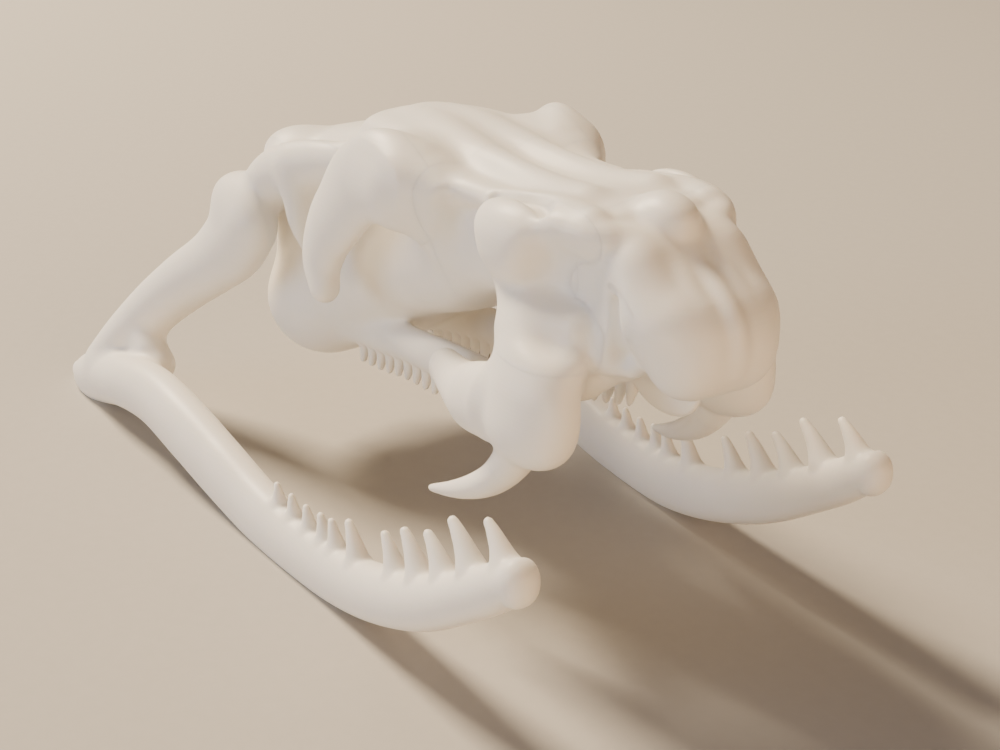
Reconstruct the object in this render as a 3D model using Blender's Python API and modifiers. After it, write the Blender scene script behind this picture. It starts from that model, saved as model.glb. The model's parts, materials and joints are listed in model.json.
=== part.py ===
"""Cobra skull with its mouth open, as a life-size one-piece print in white plastic.

The skull is modelled whole, in millimetres, as lobes and tapered rods that a voxel
Remesh fuses and a Smooth modifier fillets. Teeth and fangs are joined to it with
Boolean unions, the soles that rest on the floor are cut flat, and thin plates then
part it into its named bones, with a gap of 0.3 mm from face to face.

Places are (x, s, z): x towards the snout, s out from the midline on either side and
z up from the table of the print. Each paired bone is made on both sides by a loop.
"""

import bmesh
import bpy
from mathutils import Matrix, Vector

MM = 0.001
SIDES = {"right": -1.0, "left": 1.0}

# Driving sizes, in millimetres
FLOOR = 1.3
SEAM = 0.3
CRANIUM_VOXEL = 0.55
FILLET_STEPS = 6
RING_POINTS = 16

# Braincase and roof sections: x, half width, underside height, top height
BRAINCASE = [
    (-31.0, 4.6, 15.0, 27.0),
    (-29.0, 6.6, 12.6, 29.6),
    (-25.0, 7.2, 11.4, 31.4),
    (-19.0, 7.2, 12.2, 33.2),
    (-13.0, 7.0, 15.8, 35.0),
    (-7.0, 6.6, 19.2, 36.2),
    (-1.0, 5.8, 21.8, 36.4),
    (5.0, 5.0, 24.4, 36.2),
    (12.0, 4.6, 25.4, 36.4),
    (19.0, 4.4, 25.8, 37.0),
]
ROOF = [
    (-17.0, 5.2, 31.6, 35.0),
    (-9.0, 6.6, 32.4, 36.4),
    (-4.0, 7.2, 32.8, 36.8),
    (2.0, 6.4, 33.0, 36.4),
    (7.0, 6.6, 33.4, 36.4),
    (13.0, 6.8, 33.6, 36.8),
    (18.0, 5.0, 34.0, 37.2),
]

# Paired rods: x, s, z, half width, half height of each section
POSTORBITAL = [
    (-3.6, 7.4, 34.8, 2.3, 2.3),
    (-8.0, 8.8, 32.8, 2.3, 2.2),
    (-10.6, 9.6, 29.6, 2.1, 2.1),
    (-10.6, 10.2, 26.6, 1.8, 1.9),
    (-9.6, 10.5, 23.6, 1.3, 1.4),
    (-9.0, 10.4, 22.0, 0.7, 0.8),
]
SUPRATEMPORAL = [
    (-13.5, 6.2, 31.8, 1.2, 1.5),
    (-19.0, 7.6, 30.2, 1.8, 2.2),
    (-24.0, 8.6, 27.8, 2.2, 3.0),
    (-27.0, 8.8, 25.6, 1.8, 2.4),
]
QUADRATE = [
    (-25.2, 11.4, 25.6, 2.4, 2.8),
    (-30.4, 12.2, 19.4, 2.6, 3.0),
    (-35.0, 13.4, 15.2, 2.5, 2.9),
    (-38.6, 15.2, 11.8, 2.3, 2.4),
    (-41.4, 17.2, 8.0, 2.6, 2.4),
    (-43.4, 18.6, 5.4, 2.4, 2.2),
]
MANDIBLE = [
    (-49.6, 19.8, 2.0, 1.1, 1.1),
    (-47.0, 19.5, 2.7, 1.9, 2.1),
    (-42.0, 19.2, 4.3, 2.3, 2.5),
    (-37.0, 19.0, 5.6, 2.3, 2.6),
    (-31.0, 18.6, 6.2, 2.2, 2.8),
    (-23.6, 18.2, 5.6, 2.2, 3.0),
    (-17.0, 17.7, 4.4, 2.1, 3.0),
    (-10.0, 17.1, 3.2, 2.0, 2.8),
    (-3.0, 16.6, 3.0, 1.9, 2.6),
    (4.0, 16.2, 3.7, 1.8, 2.5),
    (11.0, 16.0, 5.8, 1.8, 2.45),
    (17.4, 15.9, 8.8, 1.7, 2.35),
    (22.6, 15.7, 12.2, 1.6, 2.2),
    (26.4, 15.5, 14.8, 1.4, 1.9),
    (28.5, 15.3, 16.6, 0.9, 1.1),
]
ECTOPTERYGOID = [
    (-12.0, 6.2, 19.8, 1.0, 1.1),
    (-6.6, 7.0, 20.3, 1.1, 1.2),
    (-1.0, 7.6, 21.0, 1.1, 1.2),
    (4.4, 8.3, 21.8, 1.2, 1.3),
    (8.4, 9.3, 22.0, 1.9, 2.6),
    (13.0, 9.4, 22.0, 2.0, 3.0),
]
PTERYGOID = [
    (-18.0, 4.8, 14.9, 1.3, 1.4),
    (-12.0, 5.0, 15.3, 1.1, 1.3),
    (-4.0, 5.0, 17.2, 1.0, 1.2),
    (4.0, 4.7, 19.2, 1.0, 1.2),
    (12.0, 4.1, 21.8, 0.9, 1.2),
    (18.0, 3.6, 24.4, 0.9, 1.3),
    (21.0, 3.0, 26.4, 1.0, 1.4),
]
FANG = [
    (18.4, 9.0, 20.8, 1.5, 1.5),
    (16.6, 9.1, 18.2, 1.4, 1.4),
    (14.6, 9.3, 16.0, 1.1, 1.1),
    (12.2, 9.7, 14.1, 0.8, 0.8),
    (9.6, 10.2, 12.7, 0.5, 0.5),
    (7.2, 10.6, 11.6, 0.25, 0.25),
]

# Lobes that are fused to the cranium: centre x, s, z and radii along x, s and z
PAIRED_LOBES = {
    "braincase bulge": ((-25.2, 4.5, 14.9), (6.0, 4.0, 4.4)),
    "occipital corner": ((-26.6, 5.4, 28.6), (3.2, 3.0, 2.2)),
    "postorbital root": ((-4.2, 7.4, 34.8), (3.4, 2.6, 2.2)),
    "prefrontal lobe": ((15.6, 7.4, 34.0), (3.3, 2.5, 2.8)),
    "prefrontal column": ((16.6, 6.4, 30.4), (4.8, 2.4, 5.4)),
    "prefrontal web": ((15.0, 4.6, 32.4), (3.6, 2.2, 3.6)),
    "prefrontal foot": ((16.8, 7.4, 27.0), (4.8, 2.5, 2.4)),
    "prefrontal front": ((21.0, 4.6, 30.6), (2.6, 2.0, 5.0)),
    "maxilla body": ((18.0, 8.6, 23.0), (4.6, 2.6, 4.2)),
    "maxilla foot": ((17.8, 8.8, 20.6), (4.2, 2.3, 2.6)),
}
MIDLINE_LOBES = {
    "snout bulb": ((24.9, 0.0, 28.8), (5.0, 5.2, 4.6)),
    "nasal bridge": ((20.6, 0.0, 32.4), (4.2, 3.6, 4.2)),
    "nasal knob": ((20.8, 0.0, 35.8), (3.0, 2.2, 2.0)),
    "keel": ((21.4, 0.0, 24.4), (4.4, 0.9, 2.6)),
    "occipital knob": ((-31.0, 0.0, 21.0), (2.2, 2.6, 2.4)),
}

# Teeth of the mandible: x of the root and height over the bone, front to back
MANDIBLE_TEETH = [
    (26.6, 2.4),
    (22.9, 3.0),
    (19.4, 2.6),
    (16.0, 2.9),
    (12.4, 2.5),
    (6.2, 2.6),
    (2.6, 1.9),
    (0.6, 1.8),
    (-2.0, 1.6),
    (-4.6, 1.5),
    (-7.2, 1.4),
]
TOOTH_RADIUS = 0.72
TOOTH_LEAN = 0.22
PTERYGOID_TOOTH_ROWS = (-14.0, 10.0, 11)
PTERYGOID_TOOTH_HEIGHT = 1.5
PTERYGOID_TOOTH_RADIUS = 0.42

# Thin plates that part the bones, as centre and size along x, s and z
MIDLINE_PLATES = [
    ((1.2, 0.0, 30.5), (SEAM, 17.0, 17.0)),
    ((18.6, 0.0, 31.0), (SEAM, 11.6, 18.0)),
    ((21.0, 0.0, 24.5), (12.0, 4.6, SEAM)),
]
PAIRED_PLATES = [
    ((17.2, 5.65, 32.0), (16.0, SEAM, 16.0)),
    ((9.4, 8.5, 34.0), (SEAM, 6.0, 9.0)),
    ((17.0, 9.5, 26.2), (17.0, 8.0, SEAM)),
    ((10.9, 9.4, 21.4), (SEAM, 6.4, 10.0)),
    ((-15.5, 7.3, 30.7), (33.0, SEAM, 16.8)),
]
# Thin round plates across rods: centre, direction of the cut and radius
PAIRED_DISCS = [
    ((-7.6, 6.9, 20.2), (1.0, 0.15, 0.1), 2.2),
    ((-9.9, 4.9, 15.9), (1.0, 0.0, 0.2), 2.2),
    ((14.8, 3.9, 22.9), (0.9, 0.0, 0.4), 2.0),
    ((-25.2, 9.7, 26.0), (-0.2, 1.0, -0.2), 4.4),
    ((-41.8, 18.2, 7.3), (-0.27, 0.0, 0.96), 6.0),
    ((15.8, 9.2, 17.3), (-0.66, 0.05, -0.75), 1.95),
]

# Where each named bone is looked for once the skull is parted
MIDLINE_BONES = {
    "braincase": (-18.0, 0.0, 24.0),
    "frontal": (10.0, 0.0, 33.0),
    "snout": (24.8, 0.0, 29.2),
    "vomer": (21.4, 0.0, 23.2),
}
PAIRED_BONES = {
    "postorbital": (-8.0, 8.8, 32.6),
    "prefrontal": (16.4, 8.4, 34.4),
    "maxilla": (18.2, 9.0, 23.0),
    "fang": (14.6, 9.3, 16.0),
    "ectopterygoid": (4.4, 8.3, 21.8),
    "pterygoid": (4.0, 5.1, 19.4),
    "supratemporal": (-20.0, 8.4, 29.4),
    "quadrate": (-34.6, 13.4, 16.4),
    "mandible": (-17.0, 17.7, 4.7),
}


def clear_scene():
    """Remove every object that the scene opens with."""
    for old in list(bpy.data.objects):
        bpy.data.objects.remove(old, do_unlink=True)


def make_collection(name):
    """Return a new collection linked to the scene."""
    collection = bpy.data.collections.new(name)
    bpy.context.scene.collection.children.link(collection)
    return collection


def printed_plastic(name):
    """Give each bone its own material of smooth white printed plastic."""
    material = bpy.data.materials.new(name)
    material.use_nodes = True
    shader = material.node_tree.nodes["Principled BSDF"]
    shader.inputs["Base Color"].default_value = (0.83, 0.80, 0.74, 1.0)
    shader.inputs["Roughness"].default_value = 0.45
    shader.inputs["Metallic"].default_value = 0.0
    return material


def place(point, side=1.0):
    """Turn x, s, z of one side into a vector of the print."""
    return Vector((point[0], point[1] * side, point[2]))


def add_lobe(bm, centre, radii, side=1.0):
    """Add an ellipsoid lobe."""
    move = Matrix.Translation(place(centre, side))
    stretch = Matrix.Diagonal((*radii, 1.0))
    bmesh.ops.create_uvsphere(bm, u_segments=24, v_segments=16, radius=1.0, matrix=move @ stretch)


def add_ring(bm, centre, across, over, half_width, half_height):
    """Add one oval section of a loft and return its corners."""
    circle = bmesh.ops.create_circle(bm, segments=RING_POINTS, radius=1.0)["verts"]
    for corner in circle:
        flat = corner.co.copy()
        corner.co = centre + across * flat.x * half_width + over * flat.y * half_height
    return circle


def add_loft(bm, centres, half_widths, half_heights):
    """Skin oval sections along a bent line and close both ends with a cone tip."""
    rings = []
    last = len(centres) - 1
    for index, centre in enumerate(centres):
        along = (centres[min(index + 1, last)] - centres[max(index - 1, 0)]).normalized()
        across = Vector((0.0, 0.0, 1.0)).cross(along).normalized()
        over = along.cross(across)
        rings.append(add_ring(bm, centre, across, over, half_widths[index], half_heights[index]))
    skin = []
    for first, second in zip(rings, rings[1:]):
        for index in range(RING_POINTS):
            after = (index + 1) % RING_POINTS
            skin.append(bm.faces.new((first[index], first[after], second[after], second[index])))
    for ring, other, sign in ((rings[0], centres[1], 1.0), (rings[-1], centres[-2], -1.0)):
        middle = sum((corner.co for corner in ring), Vector()) / RING_POINTS
        reach = sum((corner.co - middle).length for corner in ring) / RING_POINTS
        tip = bm.verts.new(middle + (middle - other).normalized() * reach * 0.7)
        for index in range(RING_POINTS):
            after = (index + 1) % RING_POINTS
            corners = (ring[after], ring[index], tip) if sign > 0 else (ring[index], ring[after], tip)
            skin.append(bm.faces.new(corners))
    bmesh.ops.recalc_face_normals(bm, faces=skin)


def add_paired_rod(bm, sections, side):
    """Add a bone that is a bent rod on one side."""
    centres = [place(section[:3], side) for section in sections]
    add_loft(bm, centres, [section[3] for section in sections], [section[4] for section in sections])


def add_body(bm, sections):
    """Add a midline body from its half widths, undersides and tops."""
    centres = [Vector((x, 0.0, (low + high) / 2)) for x, half_width, low, high in sections]
    half_widths = [section[1] for section in sections]
    half_heights = [(section[3] - section[2]) / 2 for section in sections]
    add_loft(bm, centres, half_widths, half_heights)


def mesh_object(name, bm, collection):
    """Turn a working mesh into an object."""
    mesh = bpy.data.meshes.new(name)
    bm.to_mesh(mesh)
    bm.free()
    result = bpy.data.objects.new(name, mesh)
    collection.objects.link(result)
    return result


def applied(source):
    """Replace an object's mesh by its evaluated mesh and drop its modifiers."""
    graph = bpy.context.evaluated_depsgraph_get()
    baked = bpy.data.meshes.new_from_object(source.evaluated_get(graph))
    source.modifiers.clear()
    source.data = baked
    return source


def fuse_and_fillet(source, voxel, ratio):
    """Fuse overlapping shells into one, round the creases between them and thin the mesh."""
    remesh = source.modifiers.new("fuse", "REMESH")
    remesh.mode = "VOXEL"
    remesh.voxel_size = voxel
    remesh.adaptivity = 0.0
    smooth = source.modifiers.new("fillet", "SMOOTH")
    smooth.factor = 0.5
    smooth.iterations = FILLET_STEPS
    thin = source.modifiers.new("thin", "DECIMATE")
    thin.ratio = ratio
    return applied(source)


def boolean(target, operation, cutters):
    """Join or cut a mesh with every object of a collection."""
    step = target.modifiers.new("boolean", "BOOLEAN")
    step.operation = operation
    step.operand_type = "COLLECTION"
    step.collection = cutters
    step.solver = "MANIFOLD"
    applied(target)
    for used in list(cutters.objects):
        bpy.data.objects.remove(used, do_unlink=True)
    return target


def mandible_top(x):
    """Return s, the top height and the uphill direction of the mandible at x."""
    for first, second in zip(MANDIBLE, MANDIBLE[1:]):
        if first[0] <= x <= second[0]:
            share = (x - first[0]) / (second[0] - first[0])
            here = [a + (b - a) * share for a, b in zip(first, second)]
            uphill = Vector((second[0] - first[0], 0.0, second[2] - first[2])).normalized()
            return here[1], here[2] + here[4], uphill
    raise ValueError("x lies past the mandible")


def rod_point(sections, x):
    """Return s, z and half height of a rod at x."""
    for first, second in zip(sections, sections[1:]):
        if first[0] <= x <= second[0]:
            share = (x - first[0]) / (second[0] - first[0])
            return [a + (b - a) * share for a, b in zip(first, second)]
    raise ValueError("x lies past the rod")


def add_tooth(bm, root, tip, radius):
    """Add a tooth as a slim cone with a blunt tip."""
    axis = tip - root
    turn = Vector((0.0, 0.0, 1.0)).rotation_difference(axis).to_matrix().to_4x4()
    move = Matrix.Translation((root + tip) / 2)
    bmesh.ops.create_cone(
        bm,
        cap_ends=True,
        segments=7,
        radius1=radius,
        radius2=radius * 0.22,
        depth=axis.length,
        matrix=move @ turn,
    )


def tooth_objects(side, collection):
    """Make the teeth of one side, each sunk well into its bone."""
    for number, (x, height) in enumerate(MANDIBLE_TEETH):
        s, top, uphill = mandible_top(x)
        up = Vector((0.0, 1.0, 0.0)).cross(uphill) * -1.0
        base = Vector((x, s * side, top))
        radius = TOOTH_RADIUS * (0.5 + 0.17 * height)
        bm = bmesh.new()
        lean = uphill * -TOOTH_LEAN * height
        add_tooth(bm, base - up * 1.6, base + up * height + lean, radius)
        mesh_object(f"mandible tooth {number}", bm, collection)
    start, step_end, count = PTERYGOID_TOOTH_ROWS
    for number in range(count):
        x = start + (step_end - start) * number / (count - 1)
        here = rod_point(PTERYGOID, x)
        base = Vector((x, here[1] * side, here[2] - here[4]))
        bm = bmesh.new()
        tip = base + Vector((-0.6, 0.0, -PTERYGOID_TOOTH_HEIGHT))
        add_tooth(bm, base + Vector((0.0, 0.0, 1.0)), tip, PTERYGOID_TOOTH_RADIUS)
        mesh_object(f"pterygoid tooth {number}", bm, collection)


def build_cranium(collection):
    """Fuse the lobes and bars of the cranium."""
    bm = bmesh.new()
    add_body(bm, BRAINCASE)
    add_body(bm, ROOF)
    for centre, radii in MIDLINE_LOBES.values():
        add_lobe(bm, centre, radii)
    for side in SIDES.values():
        for centre, radii in PAIRED_LOBES.values():
            add_lobe(bm, centre, radii, side)
        for sections in (POSTORBITAL, SUPRATEMPORAL, ECTOPTERYGOID, PTERYGOID, QUADRATE, MANDIBLE):
            add_paired_rod(bm, sections, side)
    return fuse_and_fillet(mesh_object("skull", bm, collection), CRANIUM_VOXEL, 0.11)


def add_plate(collection, centre, size, side=1.0):
    """Add a thin flat cutter."""
    bm = bmesh.new()
    move = Matrix.Translation(place(centre, side))
    bmesh.ops.create_cube(bm, size=1.0, matrix=move @ Matrix.Diagonal((*size, 1.0)))
    mesh_object("plate", bm, collection)


def add_disc(collection, centre, normal, radius, side):
    """Add a thin round cutter across a rod."""
    bm = bmesh.new()
    turn = Vector((0.0, 0.0, 1.0)).rotation_difference(place(normal, side)).to_matrix().to_4x4()
    move = Matrix.Translation(place(centre, side))
    bmesh.ops.create_cone(
        bm,
        cap_ends=True,
        segments=24,
        radius1=radius,
        radius2=radius,
        depth=SEAM,
        matrix=move @ turn,
    )
    mesh_object("disc", bm, collection)


def cutters_for_seams(collection):
    """Add every plate that parts one bone from the next."""
    for centre, size in MIDLINE_PLATES:
        add_plate(collection, centre, size)
    for side in SIDES.values():
        for centre, size in PAIRED_PLATES:
            add_plate(collection, centre, size, side)
        for centre, normal, radius in PAIRED_DISCS:
            add_disc(collection, centre, normal, radius, side)


def loose_parts(mesh):
    """Return the separate closed surfaces of a mesh, each as its own working mesh."""
    bm = bmesh.new()
    bm.from_mesh(mesh)
    bm.faces.ensure_lookup_table()
    unseen = set(bm.faces)
    parts = []
    while unseen:
        seed = unseen.pop()
        group = {seed}
        queue = [seed]
        while queue:
            face = queue.pop()
            for edge in face.edges:
                for other in edge.link_faces:
                    if other in unseen:
                        unseen.discard(other)
                        group.add(other)
                        queue.append(other)
        parts.append(group)
    meshes = []
    for group in parts:
        piece = bmesh.new()
        copies = {}
        for face in group:
            for corner in face.verts:
                if corner not in copies:
                    copies[corner] = piece.verts.new(corner.co)
            piece.faces.new([copies[corner] for corner in face.verts])
        meshes.append(piece)
    bm.free()
    return meshes


def distance_to(piece, point):
    """Return how far the nearest corner of a piece lies from a point."""
    return min((corner.co - point).length for corner in piece.verts)


def name_bones(pieces):
    """Pair each bone's name with the part that lies round its marker point."""
    markers = {name: place(point) for name, point in MIDLINE_BONES.items()}
    for word, side in SIDES.items():
        for name, point in PAIRED_BONES.items():
            markers[f"{name}_{word}"] = place(point, side)
    solid = [piece for piece in pieces if piece.calc_volume(signed=False) > 2.0]
    named = {}
    for name, point in markers.items():
        nearest = min(solid, key=lambda piece: distance_to(piece, point))
        named[name] = nearest
        solid.remove(nearest)
    return named


def finish_bone(name, piece, shift, collection):
    """Move a bone into the row frame, in metres, and give it its material."""
    bmesh.ops.transform(piece, matrix=Matrix.Scale(MM, 4) @ shift, verts=piece.verts)
    bmesh.ops.recalc_face_normals(piece, faces=piece.faces)
    bone = mesh_object(name, piece, collection)
    bone.data.materials.append(printed_plastic(f"printed_plastic_{name}"))
    bone.data.shade_smooth()
    bone.data.set_sharp_from_angle(angle=0.7)


def main():
    """Build the skull, part it and stand it on the floor."""
    clear_scene()
    skull_parts = make_collection("cobra_skull")
    work = make_collection("work")
    tools = make_collection("tools")
    skull = build_cranium(work)
    for side in SIDES.values():
        tooth_objects(side, tools)
        bm = bmesh.new()
        add_paired_rod(bm, FANG, side)
        mesh_object("fang", bm, tools)
    boolean(skull, "UNION", tools)
    cutters_for_seams(tools)
    add_plate(tools, (0.0, 0.0, FLOOR - 5.0), (120.0, 80.0, 10.0))
    boolean(skull, "DIFFERENCE", tools)
    bones = name_bones(loose_parts(skull.data))
    low_x = min(corner.co.x for piece in bones.values() for corner in piece.verts)
    high_x = max(corner.co.x for piece in bones.values() for corner in piece.verts)
    shift = Matrix.Translation((-(low_x + high_x) / 2, 0.0, -FLOOR))
    for name, piece in bones.items():
        finish_bone(name, piece, shift, skull_parts)
    bpy.data.objects.remove(skull, do_unlink=True)


main()
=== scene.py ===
"""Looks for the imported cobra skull: a life-size print in white plastic with its mouth open.

The whole skull is one smooth distance field in millimetres, worked out with numpy on a fine
grid from lobes, sleeves and strings of beads of named sizes. A net is drawn over its zero
surface, hair-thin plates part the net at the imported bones' seams, and each part replaces
its bone. Places are (x, s, z): x towards the snout, s out from the midline, z up.
"""

import json
import math

import bpy
import numpy as np
from mathutils import Matrix, Vector

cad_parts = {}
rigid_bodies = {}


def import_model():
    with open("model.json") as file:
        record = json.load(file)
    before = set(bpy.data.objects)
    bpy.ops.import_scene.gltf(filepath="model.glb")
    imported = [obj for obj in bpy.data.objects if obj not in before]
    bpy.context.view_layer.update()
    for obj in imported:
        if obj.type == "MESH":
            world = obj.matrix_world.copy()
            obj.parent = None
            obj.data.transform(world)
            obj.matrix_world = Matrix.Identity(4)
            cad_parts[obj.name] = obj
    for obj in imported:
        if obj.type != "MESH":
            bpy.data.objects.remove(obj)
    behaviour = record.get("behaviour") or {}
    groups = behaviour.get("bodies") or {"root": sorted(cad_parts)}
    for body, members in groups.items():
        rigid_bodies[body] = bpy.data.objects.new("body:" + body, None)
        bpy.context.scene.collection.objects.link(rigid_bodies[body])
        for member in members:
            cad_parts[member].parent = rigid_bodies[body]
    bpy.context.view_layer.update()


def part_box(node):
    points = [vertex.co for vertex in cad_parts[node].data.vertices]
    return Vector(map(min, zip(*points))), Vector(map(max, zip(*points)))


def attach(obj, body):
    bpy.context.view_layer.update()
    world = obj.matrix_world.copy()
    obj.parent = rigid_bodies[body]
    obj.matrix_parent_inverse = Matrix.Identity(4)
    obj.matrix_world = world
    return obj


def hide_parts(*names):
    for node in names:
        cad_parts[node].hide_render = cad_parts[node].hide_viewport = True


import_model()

MM = 0.001
# Height at which the soles are cut flat, width of a seam and step of the grid
FLOOR = 1.3
HAIR = 0.004
STEP = 0.22
# Where the frontal's rear face is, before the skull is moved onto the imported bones
SEAM_FACE = 1.35
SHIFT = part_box("frontal")[0].x / MM - SEAM_FACE
# Value of the field far from any shape, and room left round a shape beyond its blend
FAR = 9.0
MARGIN = 0.8
GRID_LOW = (-53.0, 0.0, -1.5)
GRID_HIGH = (32.5, 23.5, 40.0)
# A face is a cut face where the cosine between its direction and the field's is under this
CUT_FACE = 0.75
DISC_SIDES = 24

# Sleeves along x: x, s, z, half width, half height; the midline ones have s = 0
BRAINCASE = [
    (-31.0, 0.0, 21.0, 4.6, 6.0),
    (-29.0, 0.0, 21.1, 6.4, 8.5),
    (-25.0, 0.0, 21.4, 7.0, 10.0),
    (-19.0, 0.0, 22.7, 7.0, 10.4),
    (-13.0, 0.0, 25.4, 6.8, 9.5),
    (-7.0, 0.0, 27.6, 6.5, 8.2),
    (-1.0, 0.0, 28.6, 6.2, 6.7),
    (5.0, 0.0, 29.9, 5.6, 4.5),
    (12.0, 0.0, 30.6, 5.5, 4.3),
    (20.0, 0.0, 31.2, 5.0, 4.8),
]
ROOF = [
    (-14.0, 0.0, 34.2, 4.6, 1.2),
    (-7.0, 0.0, 34.7, 6.0, 1.3),
    (-2.0, 0.0, 34.3, 6.4, 1.2),
    (3.0, 0.0, 33.9, 5.8, 1.1),
    (8.0, 0.0, 34.2, 5.5, 1.1),
    (12.0, 0.0, 34.8, 5.5, 1.1),
    (16.0, 0.0, 35.4, 5.3, 1.2),
    (19.5, 0.0, 35.4, 4.5, 1.2),
]
SUPRATEMPORAL = [
    (-28.4, 9.0, 24.6, 1.6, 2.0),
    (-26.0, 8.8, 26.4, 2.0, 2.8),
    (-22.0, 8.2, 28.8, 2.0, 2.6),
    (-18.0, 7.4, 30.4, 1.7, 2.1),
    (-13.5, 6.4, 31.6, 1.2, 1.4),
]
MANDIBLE = [
    (-49.0, 19.7, 2.2, 1.1, 1.1),
    (-46.8, 19.5, 2.6, 1.85, 2.2),
    (-44.4, 19.3, 3.1, 2.1, 2.6),
    (-42.0, 19.0, 3.9, 2.3, 2.8),
    (-37.0, 19.0, 5.4, 2.3, 2.7),
    (-31.0, 18.6, 6.2, 2.2, 2.8),
    (-23.6, 18.2, 5.6, 2.2, 3.0),
    (-17.0, 17.7, 4.4, 2.1, 3.0),
    (-10.0, 17.1, 3.2, 2.0, 2.8),
    (-3.0, 16.6, 3.0, 1.9, 2.6),
    (4.0, 16.2, 3.7, 1.8, 2.5),
    (11.0, 16.0, 5.8, 1.8, 2.45),
    (17.4, 15.9, 8.8, 1.7, 2.35),
    (22.6, 15.7, 12.2, 1.6, 2.2),
    (25.6, 15.5, 14.3, 1.6, 2.1),
    (27.3, 15.45, 15.5, 1.5, 1.8),
]
ECTOPTERYGOID = [
    (3.6, 7.2, 19.9, 1.3, 1.5),
    (6.0, 7.7, 19.9, 1.6, 1.8),
    (8.5, 8.3, 20.2, 1.9, 2.2),
    (11.0, 8.9, 20.8, 2.2, 2.7),
    (14.0, 9.2, 21.6, 2.3, 3.0),
]
PTERYGOID = [
    (-19.0, 4.0, 15.0, 1.2, 1.5),
    (-13.0, 4.0, 16.0, 1.2, 1.7),
    (-8.5, 4.0, 16.8, 1.2, 1.6),
    (-3.0, 4.1, 17.6, 1.2, 1.7),
    (1.0, 4.2, 18.2, 1.2, 1.7),
    (6.0, 4.3, 19.1, 1.2, 1.5),
    (12.0, 4.2, 20.9, 1.2, 1.6),
    (17.0, 3.7, 23.5, 1.2, 1.8),
    (21.0, 2.9, 26.1, 1.2, 1.6),
]

# Strings of beads: x, s, z, half width across, half height in the plane of the string
HORN = [
    (-1.8, 6.6, 34.2, 1.6, 1.8),
    (-4.6, 8.3, 34.0, 1.6, 2.8),
    (-6.6, 9.2, 32.2, 1.5, 3.4),
    (-8.7, 9.8, 29.4, 1.5, 3.1),
    (-10.6, 10.1, 26.8, 1.5, 2.7),
    (-11.4, 10.3, 24.2, 1.4, 2.2),
    (-10.6, 10.5, 22.3, 1.2, 1.4),
]
QUADRATE = [
    (-24.9, 10.7, 24.0, 2.1, 3.4),
    (-27.0, 11.1, 21.8, 2.2, 3.7),
    (-30.2, 12.0, 18.8, 2.3, 3.1),
    (-35.0, 13.4, 15.2, 2.6, 2.8),
    (-38.6, 15.2, 11.8, 2.5, 2.6),
    (-41.4, 17.2, 8.0, 2.6, 2.5),
    (-43.6, 18.5, 5.2, 2.4, 2.3),
]
FANG = [
    (17.8, 8.8, 20.6, 1.6, 1.6),
    (16.6, 9.1, 18.2, 1.5, 1.5),
    (14.8, 9.4, 16.0, 1.25, 1.25),
    (12.2, 9.8, 14.1, 0.95, 0.95),
    (9.6, 10.2, 12.8, 0.62, 0.62),
    (7.4, 10.6, 12.0, 0.3, 0.3),
]

# Lobes on each side: centre, radii and blend
PAIRED_LOBES = {
    "braincase bulge": ((-25.2, 4.5, 14.9), (6.0, 4.0, 4.4), 2.0),
    "occipital corner": ((-26.4, 5.2, 28.8), (3.4, 3.0, 2.4), 1.6),
    "postorbital root": ((-3.0, 6.4, 34.4), (3.8, 2.4, 1.7), 1.6),
    "postorbital web": ((-3.2, 8.1, 32.6), (3.7, 2.3, 3.3), 1.8),
    "postorbital front": ((0.2, 6.4, 32.4), (2.8, 1.6, 2.3), 2.0),
    "supratemporal end": ((-28.4, 10.2, 24.5), (3.1, 2.4, 2.7), 0.6),
    "jaw joint root": ((-37.6, 16.6, 8.6), (2.0, 1.6, 1.6), 1.0),
    "jaw heel": ((-45.2, 19.2, 2.7), (2.9, 1.7, 2.1), 0.8),
    "jaw joint lip": ((-36.2, 16.3, 7.1), (2.4, 1.6, 1.7), 1.0),
    "palatine foot": ((17.8, 4.6, 24.2), (2.3, 1.4, 1.8), 0.9),
    "nose shoulder": ((22.2, 3.1, 31.6), (3.0, 2.7, 2.7), 1.6),
    "nose side": ((22.0, 3.5, 32.4), (2.6, 1.9, 3.0), 1.5),
    "prefrontal lobe": ((13.0, 6.7, 32.8), (4.3, 2.5, 2.8), 1.8),
    "prefrontal shoulder": ((18.2, 5.6, 34.2), (2.8, 1.9, 1.8), 1.5),
    "prefrontal body": ((16.4, 4.9, 30.6), (5.4, 2.3, 4.8), 1.6),
    "prefrontal foot": ((16.8, 7.2, 26.6), (4.8, 2.4, 2.6), 1.8),
    "nose column": ((21.4, 4.7, 30.0), (1.6, 1.4, 4.1), 1.0),
    "maxilla body": ((18.0, 8.6, 23.0), (4.6, 2.6, 4.2), 1.6),
    "maxilla foot": ((17.6, 8.8, 20.9), (4.1, 2.3, 2.4), 1.6),
    "upper cheek": ((24.7, 2.6, 30.4), (3.4, 3.2, 2.7), 1.6),
    "lower cheek": ((26.4, 1.9, 28.5), (3.0, 2.9, 3.3), 1.6),
    "small bump": ((17.1, 5.8, 35.2), (1.4, 1.2, 1.0), 0.7),
}
MIDLINE_LOBES = {
    "nasal bridge": ((20.6, 0.0, 31.6), (3.8, 4.0, 4.0), 1.6),
    "nasal knob": ((20.8, 0.0, 35.9), (2.6, 2.0, 1.75), 0.9),
    "snout middle": ((25.2, 0.0, 28.9), (4.0, 2.4, 3.6), 0.8),
    "knob foot": ((23.4, 0.0, 32.4), (2.3, 1.8, 1.7), 1.2),
    "keel": ((21.4, 0.0, 24.4), (4.2, 0.9, 2.6), 0.8),
    "occipital knob": ((-31.0, 0.0, 21.0), (2.2, 2.6, 2.4), 1.4),
}
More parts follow.
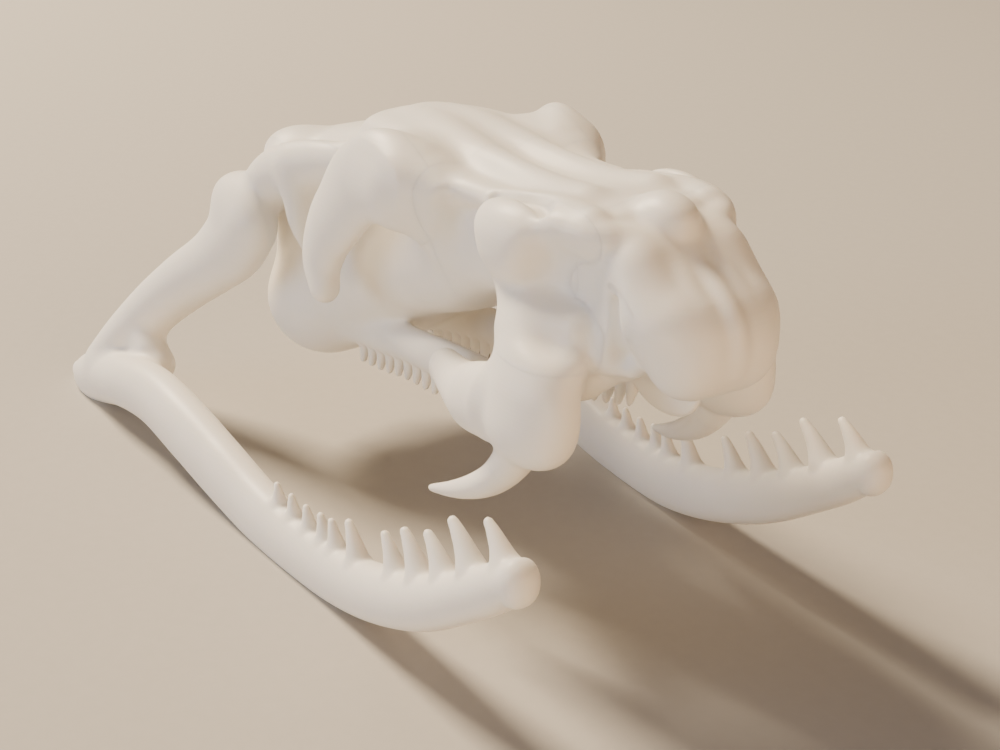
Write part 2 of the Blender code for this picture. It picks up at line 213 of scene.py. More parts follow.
RIDGES = {
    "nasal crest": ([
        (17.1, 5.6, 35.1, 0.8, 0.8), (19.0, 5.2, 35.3, 0.9, 0.9), (20.7, 4.7, 35.2, 0.9, 0.9),
        (21.4, 3.5, 34.8, 0.8, 0.8), (22.4, 2.3, 34.1, 0.8, 0.8), (23.8, 1.8, 33.4, 0.7, 0.7),
        (25.6, 1.7, 32.6, 0.6, 0.6), (27.0, 1.6, 31.6, 0.5, 0.5),
    ], 0.8),
    "snout ridge": ([
        (23.8, 0.0, 33.2, 0.6, 0.6), (25.4, 0.0, 32.8, 0.7, 0.7), (27.2, 0.0, 32.0, 0.7, 0.7),
        (28.6, 0.0, 30.8, 0.6, 0.6), (29.05, 0.0, 29.2, 0.5, 0.5), (28.9, 0.0, 27.8, 0.4, 0.4),
    ], 0.7),
    "roof crest": ([
        (-12.0, 0.8, 34.5, 0.9, 0.9), (-6.0, 1.6, 34.9, 1.0, 1.0), (-1.0, 2.0, 35.0, 1.0, 1.0),
        (4.0, 2.1, 35.1, 1.0, 1.0), (8.0, 2.2, 35.1, 1.0, 1.0), (12.0, 2.4, 35.3, 0.9, 0.9),
        (15.5, 2.8, 35.9, 0.8, 0.8),
    ], 1.8),
    "brow edge": ([
        (-1.8, 6.2, 34.3, 0.8, 0.8), (1.5, 5.6, 33.8, 0.8, 0.8), (5.0, 5.3, 33.9, 0.8, 0.8),
        (8.5, 5.3, 34.2, 0.8, 0.8), (12.0, 5.2, 34.9, 0.8, 0.8), (16.0, 5.0, 35.8, 0.7, 0.7),
        (19.0, 4.8, 35.9, 0.7, 0.7),
    ], 0.9),
    "web leg": ([
        (-2.6, 7.2, 33.0, 1.9, 1.9), (-0.9, 6.2, 31.0, 1.7, 1.7), (0.4, 5.3, 28.8, 1.3, 1.3),
    ], 2.2),
    "supratemporal column": ([
        (-20.6, 8.4, 29.6, 1.0, 1.0), (-19.6, 8.7, 27.6, 1.1, 1.1), (-19.0, 8.6, 25.4, 1.1, 1.1),
        (-19.2, 7.8, 23.0, 0.8, 0.8),
    ], 1.6),
    "prefrontal rim": ([
        (11.6, 6.8, 31.6, 0.9, 0.9), (12.0, 6.6, 29.6, 1.0, 1.0), (13.6, 6.7, 28.4, 1.2, 1.2),
        (16.8, 6.8, 28.5, 1.3, 1.3), (19.4, 6.2, 28.7, 1.0, 1.0),
    ], 1.8),
    "nose wall lip": ([
        (16.0, 5.3, 27.0, 0.9, 0.9), (20.0, 4.9, 26.5, 0.9, 0.9), (23.0, 3.7, 26.5, 0.8, 0.8),
    ], 1.0),
}
HOLLOWS = {
    "prefrontal hollow": ((19.4, 7.7, 31.0), (3.4, 2.2, 3.4), 2.4),
    "brow hollow": ((6.4, 7.3, 32.2), (3.0, 1.6, 1.5), 1.6),
}
GROOVES = {
    "bulb groove": ([
        (23.0, 5.3, 31.4, 0.4, 0.4), (23.3, 5.5, 29.5, 0.5, 0.5), (23.2, 5.1, 27.4, 0.4, 0.4),
    ], 0.9),
    "lobe groove": ([
        (8.6, 6.1, 34.8, 0.4, 0.4), (11.5, 6.1, 35.4, 0.45, 0.45), (14.4, 6.1, 36.0, 0.45, 0.45),
        (16.0, 6.4, 35.8, 0.35, 0.35),
    ], 0.8),
}

MANDIBLE_TEETH = [
    (26.6, 2.4), (22.9, 3.0), (19.4, 2.6), (16.0, 2.9), (12.4, 2.5), (6.2, 2.6),
    (2.6, 1.9), (0.6, 1.8), (-2.0, 1.6), (-4.6, 1.5), (-7.2, 1.4),
]
TOOTH_RADIUS = 0.92
TOOTH_ROOT = 0.5
TOOTH_LEAN = 0.24
# Share of the height and share of the radius, from root to tip
TOOTH_TAPER = [(0.0, 1.15), (0.3, 0.86), (0.65, 0.62), (0.9, 0.46), (1.0, 0.4)]
# First and last root along x and their number, then the height and the radii in millimetres
PTERYGOID_TEETH = (-16.5, 13.0, 19)
PTERYGOID_TOOTH_HEIGHT = 2.1
PTERYGOID_TOOTH_TAPER = [(0.0, 0.62), (0.5, 0.48), (1.0, 0.3)]

# Plates that part the bones: centre and size, or centre, direction and radius
MIDLINE_PLATES = [
    ((1.2, 0.0, 30.5), (23.0, 17.0)),
    ((18.6, 0.0, 32.05), (11.6, 15.902)),
]
FLAT_PLATES = [((21.7, 0.0, 24.1), (9.6, 4.0, HAIR))]
PAIRED_PLATES = [
    ((18.6, 3.7, 23.4), (HAIR, 4.6, 3.6)),
    ((17.2, 5.65, 28.5), (16.0, HAIR, 23.0)),
    ((9.4, 8.5, 32.0), (HAIR, 6.0, 13.4)),
    ((17.0, 9.5, 26.2), (17.0, 8.0, HAIR)),
    ((10.9, 9.4, 21.4), (HAIR, 6.9, 10.0)),
    ((3.0, 5.65, 18.8), (12.8, HAIR, 6.6)),
    ((-15.4, 7.3, 29.6), (33.22, HAIR, 19.0)),
]
PAIRED_DISCS = [
    ((-8.6, 4.4, 16.2), (1.0, 0.0, 0.0), 3.4),
    ((14.8, 4.1, 22.4), (0.9, 0.0, 0.4), 2.8),
    ((-26.8, 9.8, 25.6), (-0.2, 1.0, -0.2), 8.0),
    ((-41.8, 18.2, 7.3), (-0.27, 0.0, 0.96), 8.0),
    ((15.8, 9.2, 17.3), (-0.66, 0.05, -0.75), 1.95),
]
MIDLINE_BONES = {
    "braincase": (-18.0, 0.0, 24.0),
    "frontal": (10.0, 0.0, 33.0),
    "snout": (24.8, 0.0, 29.2),
    "vomer": (21.4, 0.0, 23.2),
}
PAIRED_BONES = {
    "postorbital": (-8.0, 8.8, 32.6),
    "prefrontal": (16.4, 8.4, 34.4),
    "maxilla": (18.2, 9.0, 23.0),
    "fang": (14.6, 9.3, 16.0),
    "ectopterygoid": (4.4, 8.3, 21.8),
    "pterygoid": (4.0, 5.1, 19.4),
    "supratemporal": (-20.0, 8.4, 29.4),
    "quadrate": (-34.6, 13.4, 16.4),
    "mandible": (-17.0, 17.7, 4.7),
}

# Looks of the print and the paper: spacing of the layer lines, size of the mottle and grain
LINE_GAP = 0.32
MOTTLE_SIZE = 3.5
GRAIN_SIZE = 1.2

# Studio, in metres: each light's place, width, power and colour, and the room's own light
FLOOR_HALF = 1.2
LIT_POINT = (0.0, 0.0, 0.02)
LIGHTS = {
    "key": ((-0.44, -0.13, 0.52), 0.18, 11.5, "#FFE8C8"),
    "window": ((-0.12, -0.62, 0.12), 0.40, 2.2, "#D3DFFF"),
    "fill": ((0.55, 0.10, 0.14), 0.4, 2.3, "#FFD09A"),
    "low": ((0.20, -0.26, 0.02), 0.10, 0.45, "#FFE9CC"),
}
ROOM_COLOUR = "#C9CCD2"
ROOM_STRENGTH = 0.17
# Camera: degrees round from the snout, up and rolled; height of its aim and distance in mm
CAMERA_ANGLES = (32.0, 24.0, 1.0)
CAMERA_LENS = 59.4
CAMERA_AIM = 16.2
CAMERA_AWAY = 135.0


def cubic(where, knots, values):
    """Cubic curve through the values at the knots, with slopes from their neighbours."""
    knots = np.asarray(knots, float)
    values = np.asarray(values, float)
    slopes = np.gradient(values, knots, axis=0)
    where = np.clip(where, knots[0], knots[-1])
    spot = np.clip(np.searchsorted(knots, where) - 1, 0, len(knots) - 2)
    width = (knots[spot + 1] - knots[spot])[:, None]
    t = (where - knots[spot])[:, None] / width
    rise = values[spot + 1] - values[spot]
    start = slopes[spot] * width
    end = slopes[spot + 1] * width
    return values[spot] + t * (start + t * (3 * rise - 2 * start - end + t * (start + end - 2 * rise)))


class Field:
    """Signed distance on a half grid, s from just under 0 outwards, in millimetres."""

    def __init__(self, low, high, step):
        self.step = step
        self.low = np.array((low[0], step / 2, low[2]))
        counts = [int(math.ceil((high[i] - self.low[i]) / step)) + 1 for i in range(3)]
        self.axes = [self.low[i] + step * np.arange(counts[i]) for i in range(3)]
        self.values = np.full(counts, FAR, np.float32)

    def window(self, low, high):
        """Slices and axes of the part of the grid inside a box."""
        spans = []
        for i in range(3):
            first = max(int(math.floor((low[i] - self.low[i]) / self.step)), 0)
            last = min(int(math.ceil((high[i] - self.low[i]) / self.step)) + 1, len(self.axes[i]))
            spans.append(slice(first, max(last, first)))
        grids = np.ix_(*[self.axes[i][spans[i]].astype(np.float32) for i in range(3)])
        return tuple(spans), grids

    def merge(self, spans, other, blend, carve):
        """Join or cut a shape: the nearer distance, rounded over a blend width.
        h = max(blend - |a - b|, 0); result = min(a, b) - h * h / (4 * blend)."""
        here = -self.values[spans] if carve else self.values[spans]
        h = np.maximum(blend - np.abs(here - other), 0.0)
        joined = np.minimum(here, other) - h * h / (4 * blend)
        self.values[spans] = -joined if carve else joined

    def lobe(self, centre, radii, blend, carve=False):
        """Ellipsoid: with k0 = |p / r| and k1 = |p / r^2| the distance is k0 * (k0 - 1) / k1."""
        reach = np.array(radii) + blend + 1.0
        for side in (1.0, -1.0):
            middle = np.array(centre) * (1.0, side, 1.0)
            if middle[1] + reach[1] < 0 or (side < 0 and centre[1] == 0):
                continue
            spans, (x, s, z) = self.window(middle - reach, middle + reach)
            px, ps, pz = (x - middle[0]), (s - middle[1]), (z - middle[2])
            k0 = np.sqrt((px / radii[0]) ** 2 + (ps / radii[1]) ** 2 + (pz / radii[2]) ** 2)
            k1 = (px / radii[0] ** 2) ** 2 + (ps / radii[1] ** 2) ** 2 + (pz / radii[2] ** 2) ** 2
            k1 = np.maximum(np.sqrt(k1), 1e-6)
            self.merge(spans, k0 * (k0 - 1.0) / k1, blend, carve)

    def sleeve(self, sections, blend, power=2.0):
        """Bone that runs along x: in each slice (|s / w|^n + |z / h|^n)^(1/n) - 1, scaled to
        millimetres and by the cosine of its slope, with ends that round off."""
        table = np.array(sections)
        room = 3.0
        tail = np.minimum(table[[0, -1], 3], table[[0, -1], 4])
        outer = (table[:, 1] + table[:, 3]).max() + room
        bottom = (table[:, 2] - table[:, 4]).min() - room
        top = (table[:, 2] + table[:, 4]).max() + room
        spans, (x, s, z) = self.window(
            (table[0, 0] - tail[0] - room, 0.0, bottom), (table[-1, 0] + tail[1] + room, outer, top),
        )
        here = cubic(x.ravel(), table[:, 0], table[:, 1:])
        bend = np.gradient(here[:, 1], x.ravel())
        s0, z0, w, h = (here[:, i].astype(np.float32)[:, None, None] for i in range(4))
        slope = (1.0 / np.sqrt(1.0 + bend ** 2)).astype(np.float32)[:, None, None]
        over = np.maximum(np.maximum(table[0, 0] - x, x - table[-1, 0]), 0.0)
        cap = np.where(x < table[0, 0], tail[0], tail[1])
        shape = (np.abs((s - s0) / w) ** power + np.abs((z - z0) / h) ** power) ** (1.0 / power)
        small = np.minimum(w, h)
        side = (shape - 1.0) * small * slope
        core = np.maximum(side + small * slope, 0.0)
        rounded = np.sqrt(core ** 2 + (over * small * slope / cap) ** 2)
        result = np.where(over > 0, rounded - small * slope, side)
        self.merge(spans, result.astype(np.float32), blend, False)

    def beads(self, points, blend, carve=False):
        """String of close-set ellipsoids along a smooth curve through the points. Each is worked
        out in its own axes, across, over and ahead, as a lobe is; a round one is |p| - w."""
        table = np.array(points, float)
        chords = np.r_[0.0, np.cumsum(np.linalg.norm(np.diff(table[:, :3], axis=0), axis=1))]
        gap = max(0.16, 0.22 * table[:, 3:].min())
        line = cubic(np.linspace(0, chords[-1], int(chords[-1] / gap) + 2), chords, table)
        along = np.gradient(line[:, :3], axis=0)
        along /= np.linalg.norm(along, axis=1)[:, None]
        reach = line[:, 3:].max() + blend + MARGIN
        for side in (1.0, -1.0):
            if side < 0 and (line[:, 1].min() > reach or np.abs(line[:, 1]).max() < 1e-6):
                continue
            middle = line[:, :3] * (1.0, side, 1.0)
            ahead = along * (1.0, side, 1.0)
            across = np.array((0.0, 1.0, 0.0)) - ahead * ahead[:, 1:2]
            across /= np.linalg.norm(across, axis=1)[:, None]
            over = np.cross(ahead, across)
            spans = self.window(middle.min(0) - reach, middle.max(0) + reach)[0]
            local = np.full([span.stop - span.start for span in spans], FAR, np.float32)
            base = [span.start for span in spans]
            for centre, a, b, c, (w, h) in zip(middle, ahead, across, over, line[:, 3:]):
                size = max(w, h) + blend + MARGIN
                cells, (x, s, z) = self.window(centre - size, centre + size)
                if 0 in (len(x), s.size, z.size):
                    continue
                cells = tuple(
                    slice(cell.start - first, cell.stop - first) for cell, first in zip(cells, base)
                )
                px, ps, pz = x - centre[0], s - centre[1], z - centre[2]
                if abs(w - h) < 1e-3:
                    away = np.sqrt(px * px + ps * ps + pz * pz) - w
                else:
                    u = px * b[0] + ps * b[1] + pz * b[2]
                    v = px * c[0] + ps * c[1] + pz * c[2]
                    t = px * a[0] + ps * a[1] + pz * a[2]
                    m = (w + h) / 2
                    k0 = np.sqrt((u / w) ** 2 + (v / h) ** 2 + (t / m) ** 2)
                    k1 = np.sqrt((u / w ** 2) ** 2 + (v / h ** 2) ** 2 + (t / m ** 2) ** 2)
                    away = k0 * (k0 - 1.0) / np.maximum(k1, 1e-6)
                local[cells] = np.minimum(local[cells], away)
            self.merge(spans, local, blend, carve)

    def whole(self):
        """Mirror the half grid into the full one."""
        self.values = np.concatenate((self.values[:, ::-1], self.values), axis=1)
        self.axes[1] = np.concatenate((-self.axes[1][::-1], self.axes[1]))
        self.low = np.array([axis[0] for axis in self.axes])

    def at(self, points):
        """Value at any points, mixed from the eight grid corners round each."""
        place = (points - self.low) / self.step
        top = np.array(self.values.shape) - 2
        cell = np.clip(np.floor(place).astype(int), 0, top)
        f = np.clip(place - cell, 0.0, 1.0)
        total = np.zeros(len(points))
        for i in (0, 1):
            for j in (0, 1):
                for k in (0, 1):
                    share = (f[:, 0] if i else 1 - f[:, 0]) * (f[:, 1] if j else 1 - f[:, 1])
                    share = share * (f[:, 2] if k else 1 - f[:, 2])
                    total += share * self.values[cell[:, 0] + i, cell[:, 1] + j, cell[:, 2] + k]
        return total

    def slope(self, points):
        """Gradient at any points, from values a step apart."""
        out = np.zeros((len(points), 3))
        for i in range(3):
            nudge = np.zeros(3)
            nudge[i] = self.step
            out[:, i] = (self.at(points + nudge) - self.at(points - nudge)) / (2 * self.step)
        return out


def surface_net(field):
    """Net over the zero surface: one corner in each grid cell that the surface crosses, at
    the mean of the places where it crosses the cell's edges and then moved onto the surface,
    and one quad round each grid edge that it crosses. All cells are worked out at once."""
    values = field.values
    inside = values < 0
    nx, ns, nz = (count - 1 for count in values.shape)
    corners = [(i, j, k) for i in (0, 1) for j in (0, 1) for k in (0, 1)]
    count = np.zeros((nx, ns, nz), np.int8)
    for i, j, k in corners:
        count += inside[i:nx + i, j:ns + j, k:nz + k]
    cells = np.argwhere((count > 0) & (count < 8))
    index = np.full((nx, ns, nz), -1, np.int32)
    index[tuple(cells.T)] = np.arange(len(cells))
    total = np.zeros((len(cells), 3))
    hits = np.zeros(len(cells))
    for a in corners:
        for axis in range(3):
            if a[axis] == 1:
                continue
            b = tuple(1 if i == axis else a[i] for i in range(3))
            va = values[tuple((cells + a).T)].astype(float)
            vb = values[tuple((cells + b).T)].astype(float)
            cross = (va < 0) != (vb < 0)
            t = np.where(cross, va / np.where(cross, va - vb, 1.0), 0.0)
            spot = np.array(a, float)[None, :] + t[:, None] * (np.array(b) - np.array(a))
            total += spot * cross[:, None]
            hits += cross
    points = field.low + (cells + total / hits[:, None]) * field.step
    for _ in range(2):
        gradient = field.slope(points)
        size = np.maximum((gradient ** 2).sum(1), 0.05)
        move = -gradient * (field.at(points) / size)[:, None]
        length = np.linalg.norm(move, axis=1)[:, None]
        points += move * np.minimum(1.0, 0.5 * field.step / np.maximum(length, 1e-9))
    quads = []
    for axis in range(3):
        other = [i for i in range(3) if i != axis]
        start = [slice(None)] * 3
        end = [slice(None)] * 3
        start[axis] = slice(0, -1)
        end[axis] = slice(1, None)
        cross = np.argwhere(inside[tuple(start)] != inside[tuple(end)])
        keep = (cross[:, other] > 0).all(1) & (cross[:, other] < np.array((nx, ns, nz))[other]).all(1)
        cross = cross[keep]
        ring = []
        for da, db in ((-1, -1), (0, -1), (0, 0), (-1, 0)):
            cell = cross.copy()
            cell[:, other[0]] += da
            cell[:, other[1]] += db
            ring.append(index[tuple(cell.T)])
        quad = np.stack(ring, axis=1)
        outward = inside[tuple(cross.T)]
        flip = outward if axis == 1 else ~outward
        quad[flip] = quad[flip][:, ::-1]
        quads.append(quad)
    return points, np.concatenate(quads)


def build_field():
    """Add every lobe, sleeve and string of the skull, then its hollows, ridges and teeth."""
    field = Field(GRID_LOW, GRID_HIGH, STEP)
    field.sleeve(BRAINCASE, 1.0, 3.0)
    field.sleeve(ROOF, 1.2, 2.6)
    for centre, radii, blend in MIDLINE_LOBES.values():
        field.lobe(centre, radii, blend)
    for centre, radii, blend in PAIRED_LOBES.values():
        field.lobe(centre, radii, blend)
    for centre, radii, blend in HOLLOWS.values():
        field.lobe(centre, radii, blend, carve=True)
    field.sleeve(SUPRATEMPORAL, 1.4)
    for points, blend in RIDGES.values():
        field.beads(points, blend)
    for points, blend in GROOVES.values():
        field.beads(points, blend, carve=True)
    field.beads(HORN, 1.0)
    field.sleeve(PTERYGOID, 0.8)
    field.sleeve(ECTOPTERYGOID, 0.9)
    field.beads(QUADRATE, 1.2)
    field.sleeve(MANDIBLE, 0.9, 2.2)
    field.beads(FANG, 0.5)
    add_teeth(field)
    field.whole()
    return field


def add_teeth(field):
    """Teeth as short strings that taper from a flared root to a blunt tip, leaning back."""
    rows = np.array(MANDIBLE)
    near = 0.5
    for x, height in MANDIBLE_TEETH:
        (s, z, _, h), ahead = cubic(np.array([x, x + near]), rows[:, 0], rows[:, 1:])
        rise = (ahead[1] - z) / near
        level = math.hypot(1.0, rise)
        up = np.array((-rise / level, 0.0, 1.0 / level))
        along = np.array((1.0 / level, 0.0, rise / level))
        base = np.array((x, s, z)) + up * (h - TOOTH_ROOT)
        radius = TOOTH_RADIUS * (0.55 + 0.17 * height)
        points = []
        for share, thick in TOOTH_TAPER:
            spot = base + up * (height + TOOTH_ROOT) * share - along * TOOTH_LEAN * height * share ** 2
            points.append((*spot, radius * thick, radius * thick))
        field.beads(points, 0.35)
    rows = np.array(PTERYGOID)
    start, end, count = PTERYGOID_TEETH
    for x in np.linspace(start, end, count):
        s, z, _, h = cubic(np.array([x]), rows[:, 0], rows[:, 1:])[0]
        points = []
        for share, thick in PTERYGOID_TOOTH_TAPER:
            spot = (x - 0.5 * share, s - 0.2, z - h + 0.3 - PTERYGOID_TOOTH_HEIGHT * share)
            points.append((*spot, thick, thick))
        field.beads(points, 0.3)


def add_node(tree, kind, settings=None, links=None, values=None):
    """Add a node with its settings, socket values and links from other sockets."""
    node = tree.nodes.new(kind)
    for name, value in (settings or {}).items():
        setattr(node, name, value)
    for name, value in (values or {}).items():
        node.inputs[name].default_value = value
    for name, socket in (links or {}).items():
        tree.links.new(socket, node.inputs[name])
    return node


def linear(colour):
    """Turn an sRGB hex colour into linear RGBA."""
    parts = [int(colour[i:i + 2], 16) / 255 for i in (1, 3, 5)]
    return (*[c / 12.92 if c <= 0.04045 else ((c + 0.055) / 1.055) ** 2.4 for c in parts], 1.0)


def plate(collection, centre, size, side=1.0):
    """Closed box cutter from its centre and size."""
    signs = np.array([(i, j, k) for i in (-1, 1) for j in (-1, 1) for k in (-1, 1)], float)
    corners = np.array(centre) * (1.0, side, 1.0) + signs * np.array(size) / 2
    faces = [(0, 1, 3, 2), (4, 6, 7, 5), (0, 4, 5, 1), (2, 3, 7, 6), (0, 2, 6, 4), (1, 5, 7, 3)]
    mesh = bpy.data.meshes.new("plate")
    mesh.from_pydata([tuple(corner) for corner in corners], [], faces)
    cutter = bpy.data.objects.new("plate", mesh)
    collection.objects.link(cutter)


def disc(collection, centre, normal, radius, side):
    """Closed thin round cutter: two rings a hair apart, square to its direction."""
    turn = np.linspace(0, 2 * math.pi, DISC_SIDES, endpoint=False)
    axis = np.array(normal, float) * (1.0, side, 1.0)
    axis /= np.linalg.norm(axis)
    first = np.cross(axis, (0.0, 1.0, 0.0) if abs(axis[1]) < 0.9 else (1.0, 0.0, 0.0))
    first /= np.linalg.norm(first)
    second = np.cross(axis, first)
    ring = radius * (np.cos(turn)[:, None] * first + np.sin(turn)[:, None] * second)
    middle = np.array(centre) * (1.0, side, 1.0)
    corners = np.concatenate((middle + ring - axis * HAIR / 2, middle + ring + axis * HAIR / 2))
    faces = [tuple(range(DISC_SIDES))[::-1], tuple(range(DISC_SIDES, 2 * DISC_SIDES))]
    for i in range(DISC_SIDES):
        ahead = (i + 1) % DISC_SIDES
        faces.append((i, ahead, DISC_SIDES + ahead, DISC_SIDES + i))
    mesh = bpy.data.meshes.new("disc")
    mesh.from_pydata([tuple(corner) for corner in corners], [], faces)
    cutter = bpy.data.objects.new("disc", mesh)
    collection.objects.link(cutter)


def mesh_from(name, points, quads):
    """Mesh from arrays of corners and quads."""
    mesh = bpy.data.meshes.new(name)
    mesh.vertices.add(len(points))
    mesh.vertices.foreach_set("co", points.astype(np.float32).ravel())
    mesh.loops.add(4 * len(quads))
    mesh.loops.foreach_set("vertex_index", quads.astype(np.int32).ravel())
    mesh.polygons.add(len(quads))
    mesh.polygons.foreach_set("loop_start", np.arange(0, 4 * len(quads), 4, dtype=np.int32))
    mesh.update(calc_edges=True)
    mesh.validate()
    return mesh


def cut_apart(mesh):
    """Part the skull at the seams and cut its soles flat, and return the loose objects."""
    cutters = bpy.data.collections.new("cutters")
    bpy.context.scene.collection.children.link(cutters)
    for centre, size in MIDLINE_PLATES:
        plate(cutters, centre, (HAIR, *size))
    for centre, size in FLAT_PLATES:
        plate(cutters, centre, size)
    for side in (1.0, -1.0):
        for centre, size in PAIRED_PLATES:
            plate(cutters, centre, size, side)
        for centre, normal, radius in PAIRED_DISCS:
            disc(cutters, centre, normal, radius, side)
    plate(cutters, (0.0, 0.0, FLOOR - 5.0), (120.0, 80.0, 10.0))
    skull = bpy.data.objects.new("skull", mesh)
    bpy.context.scene.collection.objects.link(skull)
    cut = skull.modifiers.new("cut", "BOOLEAN")
    cut.operation = "DIFFERENCE"
    cut.operand_type = "COLLECTION"
    cut.collection = cutters
    cut.solver = "MANIFOLD"
    graph = bpy.context.evaluated_depsgraph_get()
    parted = bpy.data.meshes.new_from_object(skull.evaluated_get(graph))
    skull.modifiers.clear()
    skull.data = parted
    for used in list(cutters.objects):
        bpy.data.objects.remove(used, do_unlink=True)
    bpy.data.collections.remove(cutters)
    before = set(bpy.data.objects) - {skull}
    for other in before:
        other.select_set(False)
    bpy.context.view_layer.objects.active = skull
    skull.select_set(True)
    bpy.ops.object.mode_set(mode="EDIT")
    bpy.ops.mesh.select_all(action="SELECT")
    bpy.ops.mesh.separate(type="LOOSE")
    bpy.ops.object.mode_set(mode="OBJECT")
    return [piece for piece in bpy.data.objects if piece not in before]


def corners_of(piece):
    """Corners of an object's mesh as an array."""
    out = np.empty(len(piece.data.vertices) * 3, np.float32)
    piece.data.vertices.foreach_get("co", out)
    return out.reshape(-1, 3).astype(float)


def name_pieces(pieces):
    """Pair each packed bone with the loose part nearest its marker point."""
    markers = dict(MIDLINE_BONES)
    for word, side in (("right", -1.0), ("left", 1.0)):
        for name, (x, s, z) in PAIRED_BONES.items():
            markers[f"{name}_{word}"] = (x, s * side, z)
    clouds = {piece: corners_of(piece) for piece in pieces}
    named = {}
    for name, point in markers.items():
        near = min(clouds, key=lambda piece: ((clouds[piece] - point) ** 2).sum(1).min())
        named[name] = near
        clouds.pop(near)
    return named


def finish_piece(name, piece, field, material):
    """Shade a bone by the field's own slope, flat on its cut faces, and move it into place."""
    mesh = piece.data
    points = corners_of(piece)
    normals = field.slope(points)
    normals /= np.maximum(np.linalg.norm(normals, axis=1), 1e-9)[:, None]
    starts = np.empty(len(mesh.polygons), np.int32)
    sizes = np.empty(len(mesh.polygons), np.int32)
    faces = np.empty(len(mesh.polygons) * 3, np.float32)
    loops = np.empty(len(mesh.loops), np.int32)
    mesh.polygons.foreach_get("loop_start", starts)
    mesh.polygons.foreach_get("loop_total", sizes)
    mesh.polygons.foreach_get("normal", faces)
    mesh.loops.foreach_get("vertex_index", loops)
    owner = np.repeat(np.arange(len(sizes)), sizes)
    face_normals = faces.reshape(-1, 3).astype(float)[owner]
    wanted = normals[loops]
    agree = (wanted * face_normals).sum(1)
    mean = np.bincount(owner, agree) / sizes
    flat = mean[owner] < CUT_FACE
    wanted[flat] = face_normals[flat]
    mesh.polygons.foreach_set("use_smooth", np.ones(len(sizes), bool))
    moved = (points + (SHIFT, 0.0, -FLOOR)) * MM
    mesh.vertices.foreach_set("co", moved.astype(np.float32).ravel())
    mesh.normals_split_custom_set([tuple(normal) for normal in wanted])
    mesh.materials.clear()
    mesh.materials.append(material)
    mesh.update()
    piece.name = f"{name}_bone"
    mesh.name = f"{name}_bone"
    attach(piece, "root")
    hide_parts(name)


def printed_white_pla():
    """White PLA, melted and laid by a fine nozzle: milky, soft gloss, faint layer lines."""
    material = bpy.data.materials.new("printed_white_pla")
    material.use_nodes = True
    tree = material.node_tree
    shader = tree.nodes["Principled BSDF"]
    where = add_node(tree, "ShaderNodeTexCoord").outputs["Object"]
    # A real layer is too fine to show at this width, so the lines lie two layers apart
    layers = add_node(
        tree, "ShaderNodeTexWave",
        {"wave_type": "BANDS", "bands_direction": "Z", "wave_profile": "SIN"},
        {"Vector": where},
        {"Scale": 2 * math.pi / (20 * LINE_GAP * MM), "Distortion": 0.6, "Detail": 1.0},
    )
    mottle = add_node(
        tree, "ShaderNodeTexNoise", None, {"Vector": where},
        {"Scale": 1 / (MOTTLE_SIZE * MM), "Detail": 3.0, "Roughness": 0.55},
    )
    tint = add_node(
        tree, "ShaderNodeMix", {"data_type": "RGBA"},
        {"Factor": mottle.outputs["Fac"]},
    )
    tint.inputs[6].default_value = linear("#F1EDE4")
    tint.inputs[7].default_value = linear("#EAE5DB")
    tree.links.new(tint.outputs[2], shader.inputs["Base Color"])
    gloss = add_node(
        tree, "ShaderNodeMapRange", None, {"Value": mottle.outputs["Fac"]},
        {"To Min": 0.40, "To Max": 0.52},
    )
    tree.links.new(gloss.outputs["Result"], shader.inputs["Roughness"])
    bump = add_node(
        tree, "ShaderNodeBump", None, {"Height": layers.outputs["Fac"]},
        {"Strength": 0.10, "Distance": 0.02 * MM},
    )
    tree.links.new(bump.outputs["Normal"], shader.inputs["Normal"])
    shader.inputs["IOR"].default_value = 1.46
    shader.inputs["Subsurface Weight"].default_value = 0.25
    shader.inputs["Subsurface Radius"].default_value = (1.0, 0.8, 0.55)
    shader.inputs["Subsurface Scale"].default_value = 0.6 * MM
    return material


def studio_paper():
    """Pale matt paper, laid flat, with a very slight grain."""
    material = bpy.data.materials.new("pale_backdrop_paper")
    material.use_nodes = True
    tree = material.node_tree
    shader = tree.nodes["Principled BSDF"]
    where = add_node(tree, "ShaderNodeTexCoord").outputs["Object"]
    grain = add_node(
        tree, "ShaderNodeTexNoise", None, {"Vector": where},
        {"Scale": 1 / (GRAIN_SIZE * MM), "Detail": 4.0},
    )
    tint = add_node(tree, "ShaderNodeMix", {"data_type": "RGBA"}, {"Factor": grain.outputs["Fac"]})
    tint.inputs[6].default_value = linear("#B9B4AB")
    tint.inputs[7].default_value = linear("#B3AEA5")
    tree.links.new(tint.outputs[2], shader.inputs["Base Color"])
    shader.inputs["Roughness"].default_value = 0.9
    return material


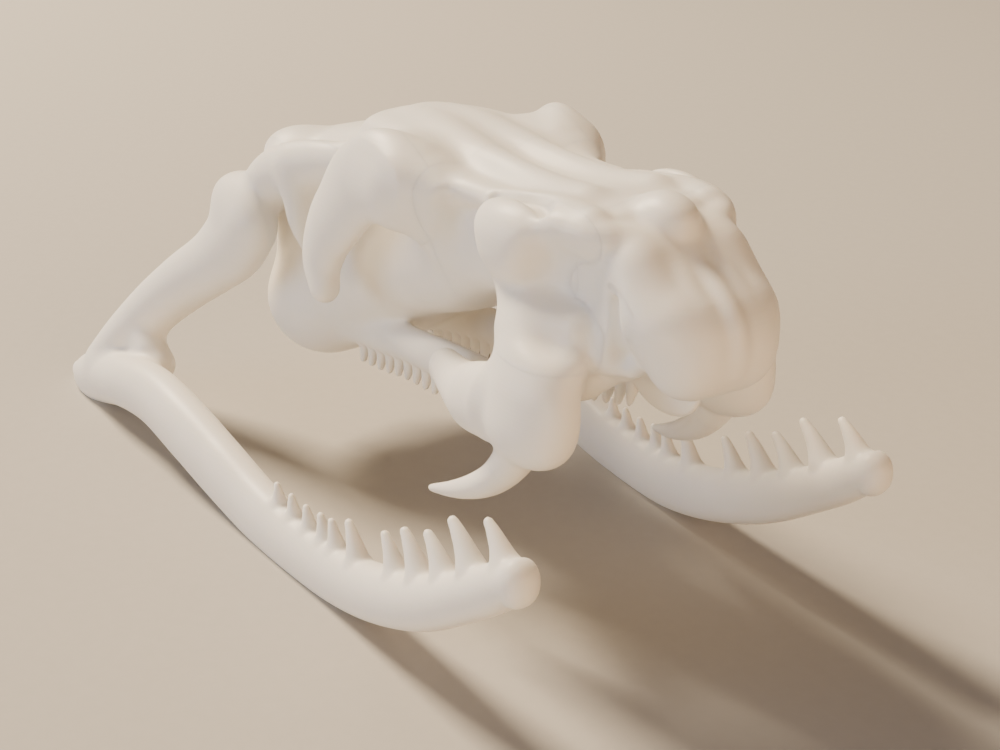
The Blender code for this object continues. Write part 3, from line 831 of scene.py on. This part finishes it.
def add_floor():
    """Flat square floor under the skull."""
    half = FLOOR_HALF
    corners = [(-half, -half, 0), (half, -half, 0), (half, half, 0), (-half, half, 0)]
    mesh = bpy.data.meshes.new("floor")
    mesh.from_pydata(corners, [], [(0, 1, 2, 3)])
    mesh.materials.append(studio_paper())
    floor = bpy.data.objects.new("floor", mesh)
    bpy.context.scene.collection.objects.link(floor)


def add_light(name, away, size, power, colour):
    """Square soft light at a place, facing the skull."""
    light = bpy.data.lights.new(name, "AREA")
    light.shape = "SQUARE"
    light.size = size
    light.energy = power
    light.color = linear(colour)[:3]
    lamp = bpy.data.objects.new(name, light)
    bpy.context.scene.collection.objects.link(lamp)
    lamp.location = away
    lamp.rotation_mode = "QUATERNION"
    lamp.rotation_quaternion = (Vector(LIT_POINT) - Vector(away)).to_track_quat("-Z", "Y")


def add_camera():
    """Camera at the photograph's angle, looking from the snout's right side."""
    around, up, roll = (math.radians(angle) for angle in CAMERA_ANGLES)
    look = -Vector((math.cos(up) * math.cos(around), -math.cos(up) * math.sin(around), math.sin(up)))
    right = Vector((math.sin(around), math.cos(around), 0.0))
    top = right.cross(look)
    turned = right * math.cos(roll) + top * math.sin(roll)
    raised = top * math.cos(roll) - right * math.sin(roll)
    camera = bpy.data.objects.new("camera", bpy.data.cameras.new("camera"))
    bpy.context.scene.collection.objects.link(camera)
    camera.data.lens = CAMERA_LENS
    camera.data.sensor_width = 36.0
    camera.data.clip_start = 0.005
    camera.data.clip_end = 20.0
    place = Matrix((turned, raised, -look)).transposed().to_4x4()
    aim = Vector((SHIFT, 0.0, CAMERA_AIM - FLOOR)) * MM
    place.translation = aim - look * CAMERA_AWAY * MM
    camera.matrix_world = place
    bpy.context.scene.camera = camera


def main():
    """Make the skull, the floor, the lights and the camera."""
    add_camera()
    field = build_field()
    points, quads = surface_net(field)
    named = name_pieces(cut_apart(mesh_from("skull", points, quads)))
    material = printed_white_pla()
    for name, piece in named.items():
        finish_piece(name, piece, field, material)
    add_floor()
    for name, (away, size, power, colour) in LIGHTS.items():
        add_light(name, away, size, power, colour)
    world = bpy.data.worlds.new("room")
    bpy.context.scene.world = world
    world.use_nodes = True
    background = world.node_tree.nodes["Background"]
    background.inputs["Color"].default_value = linear(ROOM_COLOUR)
    background.inputs["Strength"].default_value = ROOM_STRENGTH


main()
